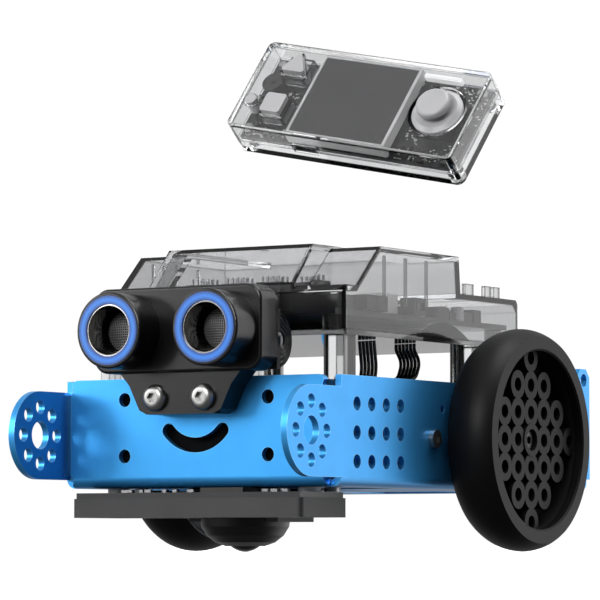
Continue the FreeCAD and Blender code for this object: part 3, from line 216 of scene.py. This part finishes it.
def grained(name, colour, roughness, grain=900.0, depth=0.03, spread=0.12, metallic=0.0,
            painted_edge_tone=None, **more):
    """A surface with fine grain: slight colour and roughness variation, and bump from noise; an optional edge
    colour is painted on, lighter for a painted highlight, darker for painted shade.
    """
    material, nodes, links = new_material(name)
    shader = nodes["Principled BSDF"]
    set_inputs(shader, Metallic=metallic, **more)
    place = nodes.new("ShaderNodeTexCoord")
    fine = nodes.new("ShaderNodeTexNoise")
    fine.inputs["Scale"].default_value = grain
    fine.inputs["Detail"].default_value = 4.0
    broad = nodes.new("ShaderNodeTexNoise")
    broad.inputs["Scale"].default_value = grain / 18.0
    links.new(place.outputs["Object"], fine.inputs["Vector"])
    links.new(place.outputs["Object"], broad.inputs["Vector"])
    low = tuple(channel * (1 - spread) for channel in colour)
    high = tuple(min(1.0, channel * (1 + spread)) for channel in colour)
    tone = ramp_between(nodes, links, broad.outputs["Fac"], low, high)
    # Painted edge colour: lighter edges are a painted highlight, darker edges painted shade.
    if painted_edge_tone is not None:
        tone = mix_colours(nodes, links, edge_mask(nodes, links, 0.0004, 0.35), tone, painted_edge_tone)
    links.new(tone, shader.inputs["Base Color"])
    rough = nodes.new("ShaderNodeMapRange")
    rough.inputs["To Min"].default_value = max(0.02, roughness - 0.06)
    rough.inputs["To Max"].default_value = roughness + 0.06
    links.new(fine.outputs["Fac"], rough.inputs["Value"])
    links.new(rough.outputs["Result"], shader.inputs["Roughness"])
    bump = nodes.new("ShaderNodeBump")
    bump.inputs["Strength"].default_value = depth * 10
    bump.inputs["Distance"].default_value = 0.00002
    links.new(fine.outputs["Fac"], bump.inputs["Height"])
    links.new(bump.outputs["Normal"], shader.inputs["Normal"])
    return material


def clear(name, tint, edge, roughness, index=1.46, edge_width=0.0006):
    """Clear moulded plastic: tinted transmission, painted shade darkening its edges, faint flow marks."""
    material, nodes, links = new_material(name)
    shader = nodes["Principled BSDF"]
    set_inputs(shader, Transmission_Weight=1.0, IOR=index)
    place = nodes.new("ShaderNodeTexCoord")
    flow = nodes.new("ShaderNodeTexNoise")
    flow.inputs["Scale"].default_value = 60.0
    links.new(place.outputs["Object"], flow.inputs["Vector"])
    faded = tuple(channel * 0.95 for channel in tint)
    tone = ramp_between(nodes, links, flow.outputs["Fac"], faded, tint)
    # Painted shade: dark outlines painted along the plastic's edges.
    tone = mix_colours(nodes, links, edge_mask(nodes, links, edge_width, 0.25), tone, edge)
    links.new(tone, shader.inputs["Base Color"])
    rough = nodes.new("ShaderNodeMapRange")
    rough.inputs["To Min"].default_value = roughness
    rough.inputs["To Max"].default_value = roughness + 0.03
    links.new(flow.outputs["Fac"], rough.inputs["Value"])
    links.new(rough.outputs["Result"], shader.inputs["Roughness"])
    bump = nodes.new("ShaderNodeBump")
    bump.inputs["Strength"].default_value = 0.08
    bump.inputs["Distance"].default_value = 0.0002
    links.new(flow.outputs["Fac"], bump.inputs["Height"])
    links.new(bump.outputs["Normal"], shader.inputs["Normal"])
    return material


def woven_mesh(name, wire, gap, pitch):
    """Fine woven metal mesh seen from the front: crossing wires with dark gaps."""
    material, nodes, links = new_material(name)
    shader = nodes["Principled BSDF"]
    set_inputs(shader, Metallic=0.6, Roughness=0.45)
    place = nodes.new("ShaderNodeTexCoord")
    parts = nodes.new("ShaderNodeSeparateXYZ")
    links.new(place.outputs["Object"], parts.inputs["Vector"])
    waves = []
    for axis in ("X", "Z"):
        scaled = nodes.new("ShaderNodeMath")
        scaled.operation = "MULTIPLY"
        scaled.inputs[1].default_value = 2 * math.pi / pitch
        links.new(parts.outputs[axis], scaled.inputs[0])
        wave = nodes.new("ShaderNodeMath")
        wave.operation = "SINE"
        links.new(scaled.outputs["Value"], wave.inputs[0])
        waves.append(wave.outputs["Value"])
    weave = nodes.new("ShaderNodeMath")
    weave.operation = "MAXIMUM"
    links.new(waves[0], weave.inputs[0])
    links.new(waves[1], weave.inputs[1])
    tone = ramp_between(nodes, links, weave.outputs["Value"], gap, wire, 0.05, 0.75)
    links.new(tone, shader.inputs["Base Color"])
    bump = nodes.new("ShaderNodeBump")
    bump.inputs["Strength"].default_value = 0.8
    bump.inputs["Distance"].default_value = 0.0001
    links.new(weave.outputs["Value"], bump.inputs["Height"])
    links.new(bump.outputs["Normal"], shader.inputs["Normal"])
    return material


MATERIALS = {
    # Blue metal gets lighter edges, a painted highlight; steel gets darker edges, painted shade.
    "blue_metal": grained("blue_anodised", (0.045, 0.35, 0.80), 0.33, 1600, 0.03, 0.05, 0.70,
                          painted_edge_tone=(0.25, 0.60, 0.95)),
    "steel": grained("bright_steel", (0.40, 0.40, 0.395), 0.34, 1200, 0.02, 0.08, 1.0,
                     painted_edge_tone=(0.18, 0.18, 0.18)),
    "dark_steel": grained("blackened_steel", (0.06, 0.06, 0.06), 0.3, 1200, 0.03, 0.1, 1.0),
    "motor_steel": grained("satin_steel", (0.42, 0.42, 0.43), 0.35, 900, 0.03, 0.08, 1.0),
    "tyre_rubber": grained("tyre_rubber", (0.0035, 0.0035, 0.004), 0.46, 1400, 0.03, 0.2,
                           Specular_IOR_Level=0.15),
    "hub_grey": grained("hub_plastic", (0.009, 0.009, 0.0095), 0.5, 1300, 0.03, 0.1,
                        Specular_IOR_Level=0.15),
    "grey_plastic": grained("gearbox_plastic", (0.10, 0.10, 0.11), 0.5, 1000, 0.05, 0.1),
    "black_plastic": grained("black_plastic", (0.006, 0.006, 0.0065), 0.4, 1300, 0.05, 0.2),
    "ball_black": grained("polished_black", (0.005, 0.005, 0.005), 0.15, 900, 0.01, 0.1),
    "chrome": grained("polished_metal", (0.42, 0.41, 0.40), 0.16, 900, 0.01, 0.06, 1.0),
    "sensor_dark": grained("line_cover_plastic", (0.022, 0.022, 0.0235), 0.5, 1500, 0.06, 0.15),
    "circuit_board": grained("solder_mask", (0.012, 0.013, 0.015), 0.3, 700, 0.02, 0.3),
    "clear_plastic": clear("clear_polycarbonate", (0.90, 0.905, 0.91), (0.02, 0.02, 0.02), 0.01,
                           edge_width=0.001),
    "white_nylon": grained("white_nylon", (0.62, 0.62, 0.60), 0.45, 900, 0.03, 0.05),
    # The sensor shell's lighter edges are a painted highlight.
    "sensor_black": grained("sensor_shell_plastic", (0.0035, 0.0035, 0.004), 0.24, 1600, 0.008, 0.2,
                            painted_edge_tone=(0.02, 0.02, 0.02), Specular_IOR_Level=0.4),
    "blue_light": grained("lit_light_guide", (0.012, 0.055, 0.26), 0.3, 500, 0.01, 0.05),
    "transducer_mesh": woven_mesh("transducer_mesh", (0.16, 0.16, 0.16), (0.01, 0.01, 0.01), 0.0007),
    "smoke_plastic": clear("smoke_polycarbonate", (0.68, 0.683, 0.69), (0.015, 0.015, 0.015), 0.012,
                           index=1.36, edge_width=0.0009),
    "battery_wrap": grained("battery_wrap", (0.018, 0.018, 0.02), 0.4, 600, 0.04, 0.2),
    "cable_black": grained("silicone_insulation", (0.010, 0.010, 0.010), 0.24, 2200, 0.01, 0.2),
    "switch_grey": grained("switch_plastic", (0.05, 0.05, 0.05), 0.4, 1500, 0.04, 0.1),
    "screen_black": grained("display_glass", (0.028, 0.028, 0.029), 0.25, 300, 0.001, 0.1),
    "port_steel": grained("drawn_steel", (0.30, 0.30, 0.31), 0.28, 1300, 0.03, 0.1, 1.0),
    "button_grey": grained("satin_button_plastic", (0.36, 0.36, 0.37), 0.35, 1600, 0.02, 0.05),
    "frame_grey": grained("frame_plastic", (0.55, 0.55, 0.55), 0.3, 1500, 0.02, 0.06),
}

# Three nodes take a finish of their own, tuned from their slot's; the base's darker tint is painted shade. A
# near-black sheet material, painted shade, is for added pieces.
MATERIALS["pad_back_clear"] = clear("pad_back_polycarbonate", (0.96, 0.965, 0.97), (0.04, 0.04, 0.04),
                                    0.01, index=1.34, edge_width=0.0006)
# The base is tinted far darker than the cover: painted shade of its shaded underside, over the smoke tint.
MATERIALS["base_smoke_and_shade"] = clear("base_smoke_and_shade_polycarbonate", (0.14, 0.142, 0.145), (0.01, 0.01, 0.01),
                                0.04)
MATERIALS["post_steel"] = grained("post_steel", (0.24, 0.24, 0.235), 0.24, 1200, 0.02, 0.1, 1.0)
# A near-black, barely reflective sheet: painted shade behind the front plate and painted reflections in the box.
MATERIALS["lining"] = grained("painted_shade_black", (0.0025, 0.0025, 0.003), 0.75, 900, 0.03, 0.1,
                              Specular_IOR_Level=0.05)
OWN_FINISH = {
    "controller_back": "pad_back_clear",
    "shield_base": "base_smoke_and_shade",
    "metal_standoffs": "post_steel",
}


def light_up():
    """The light rings glow blue, brightest along the middle of the band."""
    material = MATERIALS["blue_light"]
    nodes, links = material.node_tree.nodes, material.node_tree.links
    shader = nodes["Principled BSDF"]
    low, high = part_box("eye_light_rings")
    outer = (high[2] - low[2]) / 2
    centre_z = (high[2] + low[2]) / 2
    centre_x = high[0] - outer
    band = outer - 7.3 * MM
    place = nodes.new("ShaderNodeTexCoord")
    parts = nodes.new("ShaderNodeSeparateXYZ")
    links.new(place.outputs["Object"], parts.inputs["Vector"])

    def step(operation, first, second=None):
        node = nodes.new("ShaderNodeMath")
        node.operation = operation
        for socket, value in zip(node.inputs, (first, second)):
            if isinstance(value, (int, float)):
                socket.default_value = value
            elif value is not None:
                links.new(value, socket)
        return node.outputs["Value"]

    across = step("SUBTRACT", step("ABSOLUTE", parts.outputs["X"]), centre_x)
    up = step("SUBTRACT", parts.outputs["Z"], centre_z)
    radius = step("SQRT", step("ADD", step("POWER", across, 2.0), step("POWER", up, 2.0)))
    off_middle = step("ABSOLUTE", step("SUBTRACT", radius, outer - band / 2))
    glow = nodes.new("ShaderNodeMapRange")
    glow.interpolation_type = "SMOOTHSTEP"
    glow.inputs["From Min"].default_value = band / 2
    glow.inputs["From Max"].default_value = 0.0
    glow.inputs["To Min"].default_value = 0.10
    glow.inputs["To Max"].default_value = 0.72
    links.new(off_middle, glow.inputs["Value"])
    links.new(glow.outputs["Result"], shader.inputs["Emission Strength"])
    set_inputs(shader, Emission_Color=(0.02, 0.23, 0.72))


def paint_cad():
    for part in frame["record"]["subparts"]:
        node = frame["nodes"][part["node"]]
        node.data.materials.clear()
        node.data.materials.append(MATERIALS[OWN_FINISH.get(part["node"], part["material_slot"])])


# ---- small pieces ----

def mesh_piece(name, body, material, shape, place=Matrix()):
    """A named piece from a bmesh, in metres, that rides on a body."""
    shape.transform(place)
    mesh = bpy.data.meshes.new(name)
    bmesh.ops.recalc_face_normals(shape, faces=shape.faces[:])
    shape.to_mesh(mesh)
    shape.free()
    piece = bpy.data.objects.new(name, mesh)
    bpy.context.scene.collection.objects.link(piece)
    mesh.materials.append(material)
    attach(piece, body)
    return piece


def add_block(shape, centre, size, ease=0.15):
    """A box in millimetres with eased edges."""
    corner = bmesh.ops.create_cube(shape, size=1.0)["verts"]
    bmesh.ops.scale(shape, vec=Vector(size) * MM, verts=corner)
    bmesh.ops.translate(shape, vec=Vector(centre) * MM, verts=corner)
    edges = list({edge for vert in corner for edge in vert.link_edges})
    bmesh.ops.bevel(shape, geom=edges, offset=ease * MM, segments=2, affect="EDGES", clamp_overlap=True)


def add_disc(shape, centre, radius, height, ease=0.1, sides=32):
    """An upright disc in millimetres standing on centre, with an eased top edge."""
    made = bmesh.ops.create_cone(shape, cap_ends=True, segments=sides, radius1=radius * MM,
                                 radius2=radius * MM, depth=height * MM)["verts"]
    bmesh.ops.translate(shape, vec=(Vector(centre) + Vector((0, 0, height / 2))) * MM, verts=made)
    top = max(vert.co.z for vert in made)
    edges = [edge for edge in {edge for vert in made for edge in vert.link_edges}
             if all(abs(vert.co.z - top) < 1e-7 for vert in edge.verts)]
    bmesh.ops.bevel(shape, geom=edges, offset=ease * MM, segments=2, affect="EDGES", clamp_overlap=True)


def design(x, y, z):
    """A point of the design frame, in millimetres, moved to the row's origin."""
    return (x, y + SHIFT, z)


def lifted_pad():
    """Where the controller's own frame goes: centre of its underside, docked, then swung up."""
    joint = [item for item in frame["joints"] if item["name"] == "controller_dock"][0]
    pivot = Vector(joint["pos_m"])
    angle = math.radians(-joint["range_deg"][0])
    turn = Matrix.Rotation(angle, 4, Vector(joint["axis"]))
    swing = Matrix.Translation(pivot) @ turn @ Matrix.Translation(-pivot)
    docked = Matrix.Translation(Vector(design(0.0, 97.5, 75.8)) * MM)
    return swing @ docked


def controller_details():
    pad = lifted_pad()
    dice = random.Random(4)
    solder = grained("solder_pads", (0.62, 0.62, 0.61), 0.45, 1200, 0.02, 0.1, 0.8)
    chips = grained("chip_epoxy", (0.02, 0.02, 0.02), 0.45, 1500, 0.04, 0.2)
    pads = bmesh.new()
    parts = bmesh.new()
    zones = [((17.0, 37.0), (-13.6, -10.0)), ((17.0, 36.5), (10.5, 13.6)), ((-37.0, -19.8), (-2.2, 3.2)),
             ((-36.6, -29.0), (-13.6, -9.0)), ((-31.0, -19.8), (-13.6, -10.4))]
    for zone_x, zone_y in zones:
        count = int((zone_x[1] - zone_x[0]) * (zone_y[1] - zone_y[0]) / 0.9)
        for _ in range(count):
            x, y = dice.uniform(*zone_x), dice.uniform(*zone_y)
            if dice.random() < 0.65:
                add_block(pads, (x, y, 5.87), (dice.uniform(0.3, 0.8), dice.uniform(0.3, 0.6), 0.1), 0.03)
            else:
                add_block(parts, (x, y, 6.1), (dice.uniform(0.8, 1.6), dice.uniform(0.5, 1.0), 0.55), 0.08)
    for _ in range(110):
        turn, reach = dice.uniform(0, 2 * math.pi), dice.uniform(9.3, 13.5)
        x, y = 27.4 + reach * math.cos(turn), 0.1 + reach * math.sin(turn)
        if 17.0 < x < 37.0 and abs(y) < 13.6:
            add_block(pads, (x, y, 5.87), (dice.uniform(0.4, 0.9), dice.uniform(0.3, 0.6), 0.1), 0.03)
    for x, y in ((18.6, -10.6), (21.4, -10.4)):
        add_disc(parts, (x, y, 5.82), 0.8, 1.2)
    mesh_piece("controller_pads", "controller", solder, pads, pad)
    mesh_piece("controller_chips", "controller", chips, parts, pad)

    collars = bmesh.new()
    for centre_x, centre_y, inner, outer in ((-26.5, -6.5, 3.75, 4.35), (-26.0, 8.3, 3.6, 4.2)):
        for side in (-1, 1):
            middle = side * (inner + outer) / 2
            add_block(collars, (centre_x + middle, centre_y, 9.2), (outer - inner, 2 * outer, 3.6), 0.2)
            add_block(collars, (centre_x, centre_y + middle, 9.2), (2 * inner, outer - inner, 3.6), 0.2)
    mesh_piece("button_collars", "controller", MATERIALS["clear_plastic"], collars, pad)

    speaker = bmesh.new()
    add_disc(speaker, (-34.0, 4.2, 5.85), 3.6, 2.6, 0.4, 40)
    add_disc(speaker, (-34.0, 4.2, 8.4), 0.8, 0.3, 0.1, 24)
    mesh_piece("controller_speaker", "controller", chips, speaker, pad)

    lamp = grained("light_strip", (0.8, 0.8, 0.8), 0.35, 900, 0.01, 0.03)
    set_inputs(lamp.node_tree.nodes["Principled BSDF"], Emission_Color=(1.0, 1.0, 1.0),
               Emission_Strength=0.25)
    strip = bmesh.new()
    add_block(strip, (23.0, 13.2, 9.4), (12.8, 1.6, 2.6), 0.3)
    add_block(strip, (23.0, 13.2, 10.9), (11.6, 0.8, 0.2), 0.08)
    mesh_piece("controller_light_strip", "controller", lamp, strip, pad)


def board_details():
    dice = random.Random(9)
    chips = MATERIALS["black_plastic"]
    metal = MATERIALS["port_steel"]
    dark = bmesh.new()
    bright = bmesh.new()
    for x, y, sx, sy, sz in ((0, 45, 12, 12, 1.4), (14, 38, 7, 5, 1.2), (-14, 40, 6, 8, 1.2), (30, 66, 5, 7, 2.2),
                             (-30, 66, 6, 7, 2.2), (30, 94, 7, 9, 3.0), (-28, 96, 8, 8, 2.4), (0, 78, 14, 9, 1.6),
                             (34, 76, 4, 8, 3.4), (27, 104, 10, 5, 4.2)):
        add_block(dark, design(x, y, 68.1 + sz / 2), (sx, sy, sz), 0.25)
    for x, y in ((34, 64), (34, 88), (22, 34), (-22, 34), (8, 88), (-8, 88), (31, 84)):
        add_disc(bright, design(x, y, 68.1), 2.0, 4.2, 0.4)
    for _ in range(80):
        x, y = dice.uniform(-35, 35), dice.uniform(18, 112)
        add_block(bright, design(x, y, 68.4), (dice.uniform(0.6, 1.6), dice.uniform(0.5, 1.0), 0.6), 0.08)
    for row in range(4):
        for step in range(4):
            for line in range(3):
                add_block(bright, design(-20 + 12 * row + 1.2 + 1.8 * step, 27.6 + 2.4 * line, 77.4),
                          (0.6, 0.6, 1.8), 0.08)
    mesh_piece("board_chips", "robot", chips, dark)
    mesh_piece("board_metalwork", "robot", metal, bright)

    ribs = bmesh.new()
    for y in (37.0, 49.0, 61.0):
        add_block(ribs, design(38.9, y, 77.0), (0.9, 0.7, 14.0), 0.1)
        add_block(ribs, design(-38.9, y, 77.0), (0.9, 0.7, 14.0), 0.1)
    mesh_piece("cover_ribs", "robot", MATERIALS["smoke_plastic"], ribs)


def plate_lining():
    """A thin near-black sheet behind the front plate, clear of the sensor screws: painted shade that darkens what
    shows through the plate.
    """
    sheet = bmesh.new()
    y = 3.0
    patches = ((0, 31.0, 80, 17), (-25, 43.2, 28, 7), (25, 43.2, 28, 7), (0, 43.2, 9, 7))
    for x, z, width, height in patches:
        add_block(sheet, design(x, y, z), (width, 0.5, height), 0.1)
    mesh_piece("front_lining", "robot", MATERIALS["lining"], sheet)


def side_arches():
    """A low dark arch inside each long wall of the box, over the edge of its base: a painted reflection."""
    shape = bmesh.new()
    steps = 24
    for side in (-1, 1):
        rims = []
        for depth in (38.4, 39.1):
            rim = []
            for step in range(steps + 1):
                y = 55.0 + 32.0 * step / steps
                z = 61.8 + 4.8 * math.sin(math.pi * step / steps)
                rim.append(shape.verts.new(Vector(design(side * depth, y, z)) * MM))
            rims.append(rim)
        near, far = rims
        shape.faces.new(near)
        shape.faces.new(far)
        for step in range(steps):
            shape.faces.new((near[step], near[step + 1], far[step + 1], far[step]))
        shape.faces.new((near[0], far[0], far[steps], near[steps]))
    mesh_piece("side_arches", "robot", MATERIALS["lining"], shape)


def line_sensor_details():
    dice = random.Random(2)
    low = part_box("line_sensor_board")[1][2] / MM
    parts = bmesh.new()
    for step in range(22):
        x = -34 + 3.1 * step + dice.uniform(-0.5, 0.5)
        if 3 < x < 19 or abs(abs(x) - 32) < 4:
            continue
        add_block(parts, design(x, dice.uniform(-2.5, 3.0), low + 0.5), (dice.uniform(1.0, 2.6), 1.4, 0.8), 0.1)
    mesh_piece("line_sensor_parts", "robot", MATERIALS["port_steel"], parts)


floor = add_studio()
paper = grained("paper_floor", (0.92, 0.92, 0.92), 0.8, 40, 0.02, 0.01)
set_inputs(paper.node_tree.nodes["Principled BSDF"], Emission_Color=(1.0, 1.0, 1.0),
           Emission_Strength=0.8)
floor.data.materials.append(paper)
add_camera()
light_up()
paint_cad()
controller_details()
board_details()
line_sensor_details()
plate_lining()
side_arches()

bpy.context.scene.view_settings.view_transform = "Standard"
